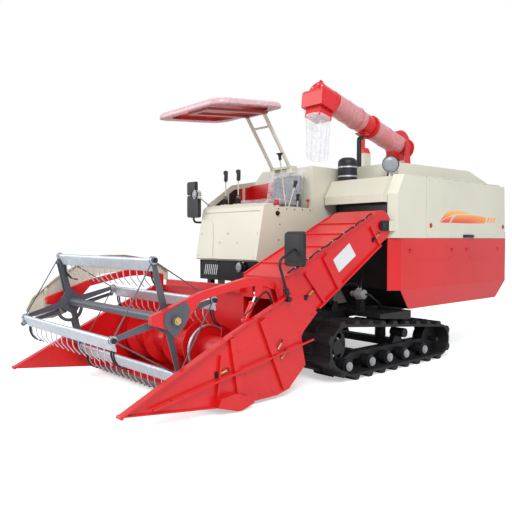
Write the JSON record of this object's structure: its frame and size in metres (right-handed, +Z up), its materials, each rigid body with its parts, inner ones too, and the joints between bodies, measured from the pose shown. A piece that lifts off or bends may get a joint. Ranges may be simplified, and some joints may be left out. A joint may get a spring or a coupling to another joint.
{
  "type": "tracked combine harvester",
  "caption": "Tracked rice and wheat combine with an open driver's station under a canopy, a lifting header with a tined reel, and a swinging unloading auger.",
  "frame": {"origin": "on the ground, under the middle of the overall box with the header at rest", "axes": "-Y is straight ahead, +X is the machine's left, +Z is up"},
  "size_m": [2.195, 5.444, 3.0696],
  "materials": {
    "rubber": "matt moulded rubber",
    "black_steel": "satin black paint",
    "engine_metal": "as cast",
    "cap_grey": "satin grey paint",
    "cream_paint": "gloss cream paint",
    "red_paint": "gloss red paint",
    "seat_cover": "grey vinyl under clear film",
    "lamp_glass": "clear lens in a black housing",
    "cutter_steel": "bare ground steel",
    "reel_grey": "dark grey paint",
    "reel_silver": "zinc plated",
    "cylinder_black": "black paint",
    "rod_chrome": "polished"
  },
  "bodies": {
    "chassis": {"air_cleaner": "black_steel", "canopy_frame": "cream_paint", "canopy_roof": "red_paint", "chassis_frame": "black_steel", "control_levers": "black_steel", "drive_gearbox": "black_steel", "engine_block": "engine_metal", "engine_covers": "cream_paint", "exhaust_pipe": "black_steel", "feeder_brackets": "black_steel", "feeder_hood": "cream_paint", "front_cowl": "cream_paint", "front_grille": "black_steel", "grain_tank": "cream_paint", "hydraulic_pump": "cap_grey", "lower_body": "black_steel", "platform": "black_steel", "rear_flange": "red_paint", "red_side_panel": "red_paint", "right_mirror": "black_steel", "roller_caps": "cap_grey", "seat_back": "seat_cover", "seat_cushion": "seat_cover", "seat_pedestal": "cream_paint", "side_front_panel": "cream_paint", "side_guard": "cream_paint", "top_cover": "cream_paint", "track_frames": "black_steel", "track_left": "rubber", "track_right": "rubber", "tube_cradle": "cream_paint", "unload_base": "red_paint", "upper_body": "cream_paint", "work_lamps": "lamp_glass"},
    "header": {"feeder_house": "red_paint", "header_floor": "red_paint", "header_rear_wall": "red_paint", "divider_left": "red_paint", "divider_right": "red_paint", "cutter_bar": "cutter_steel", "left_mirror": "black_steel"},
    "knife": {"knife": "cutter_steel"},
    "crop_auger": {"header_auger": "red_paint"},
    "reel_arms": {"reel_arm_left": "red_paint", "reel_arm_right": "red_paint", "reel_bearings": "reel_grey", "reel_drive_guard": "cream_paint"},
    "reel": {"reel_frame": "reel_grey"},
    "eccentric": {"reel_eccentric": "reel_grey"},
    "header_barrel": {"header_lift_barrel": "cylinder_black"},
    "header_rod": {"header_lift_rod": "rod_chrome"},
    "reel_barrel": {"reel_lift_barrel": "red_paint"},
    "reel_rod": {"reel_lift_rod": "rod_chrome"},
    "side_door": {"side_door": "cream_paint"},
    "unload_swing": {"unload_elbow": "red_paint"},
    "unload_boom": {"unload_tube": "red_paint"},
    "tine_bar_1": {"tine_bar_1": "reel_silver"},
    "tine_bar_2": {"tine_bar_2": "reel_silver"},
    "tine_bar_3": {"tine_bar_3": "reel_silver"},
    "tine_bar_4": {"tine_bar_4": "reel_silver"}
  },
  "joints": [
    {"name": "header_lift", "type": "hinge", "parent": "chassis", "child": "header", "pos_m": [0.69, 0.15, 1.44], "axis": [-1, 0, 0], "range_deg": [0, 20]},
    {"name": "knife_slide", "type": "slide", "parent": "header", "child": "knife", "axis": [1, 0, 0], "range_m": [-0.038, 0.038]},
    {"name": "auger_turn", "type": "hinge", "parent": "header", "child": "crop_auger", "pos_m": [0, -1.44, 0.335], "axis": [1, 0, 0], "continuous": true},
    {"name": "reel_lift", "type": "hinge", "parent": "header", "child": "reel_arms", "pos_m": [0, -1.235, 0.915], "axis": [-1, 0, 0], "range_deg": [0, 18]},
    {"name": "reel_turn", "type": "hinge", "parent": "reel_arms", "child": "reel", "pos_m": [0, -2.235, 0.729], "axis": [1, 0, 0], "continuous": true},
    {"name": "tine_bar_1_turn", "type": "hinge", "parent": "reel", "child": "tine_bar_1", "pos_m": [0, -1.80807, 0.83545], "axis": [1, 0, 0], "continuous": true},
    {"name": "tine_bar_2_turn", "type": "hinge", "parent": "reel", "child": "tine_bar_2", "pos_m": [0, -2.34145, 1.15593], "axis": [1, 0, 0], "continuous": true},
    {"name": "tine_bar_3_turn", "type": "hinge", "parent": "reel", "child": "tine_bar_3", "pos_m": [0, -2.66193, 0.62255], "axis": [1, 0, 0], "continuous": true},
    {"name": "tine_bar_4_turn", "type": "hinge", "parent": "reel", "child": "tine_bar_4", "pos_m": [0, -2.12855, 0.30207], "axis": [1, 0, 0], "continuous": true},
    {"name": "eccentric_turn", "type": "hinge", "parent": "reel_arms", "child": "eccentric", "pos_m": [0, -2.235, 0.667], "axis": [1, 0, 0], "continuous": true},
    {"name": "header_cylinder_swing", "type": "hinge", "parent": "chassis", "child": "header_barrel", "pos_m": [0.48, -0.05, 0.65], "axis": [-1, 0, 0], "range_deg": [0, 11]},
    {"name": "header_cylinder_stroke", "type": "slide", "parent": "header_barrel", "child": "header_rod", "axis": [0, -0.8697, 0.4936], "range_m": [0, 0.272]},
    {"name": "reel_cylinder_swing", "type": "hinge", "parent": "header", "child": "reel_barrel", "pos_m": [0.905, -1.573, 0.663], "axis": [-1, 0, 0], "range_deg": [-9, 0]},
    {"name": "reel_cylinder_stroke", "type": "slide", "parent": "reel_barrel", "child": "reel_rod", "axis": [0, 0.5072, 0.8618], "range_m": [0, 0.063]},
    {"name": "side_door_hinge", "type": "hinge", "parent": "chassis", "child": "side_door", "pos_m": [0.9777, 1.8, 1.973], "axis": [0, -1, 0], "range_deg": [0, 75]},
    {"name": "unload_swing", "type": "hinge", "parent": "chassis", "child": "unload_swing", "pos_m": [0.02, 1.765, 2.25], "axis": [0, 0, 1], "range_deg": [-90, 200]},
    {"name": "unload_lift", "type": "hinge", "parent": "unload_swing", "child": "unload_boom", "pos_m": [0.02, 1.765, 2.5], "axis": [-1, 0, 0], "range_deg": [0, 12]}
  ],
  "couplings": [
    {"joint": "tine_bar_1_turn", "follows": "reel_turn", "ratio": -1},
    {"joint": "tine_bar_2_turn", "follows": "reel_turn", "ratio": -1},
    {"joint": "tine_bar_3_turn", "follows": "reel_turn", "ratio": -1},
    {"joint": "tine_bar_4_turn", "follows": "reel_turn", "ratio": -1},
    {"joint": "eccentric_turn", "follows": "reel_turn", "ratio": 1},
    {"joint": "header_cylinder_swing", "follows": "header_lift", "ratio": 0.487},
    {"joint": "header_cylinder_stroke", "follows": "header_lift", "m_per_rad": 0.7675},
    {"joint": "reel_cylinder_swing", "follows": "reel_lift", "ratio": -0.4233},
    {"joint": "reel_cylinder_stroke", "follows": "reel_lift", "m_per_rad": 0.187}
  ]
}
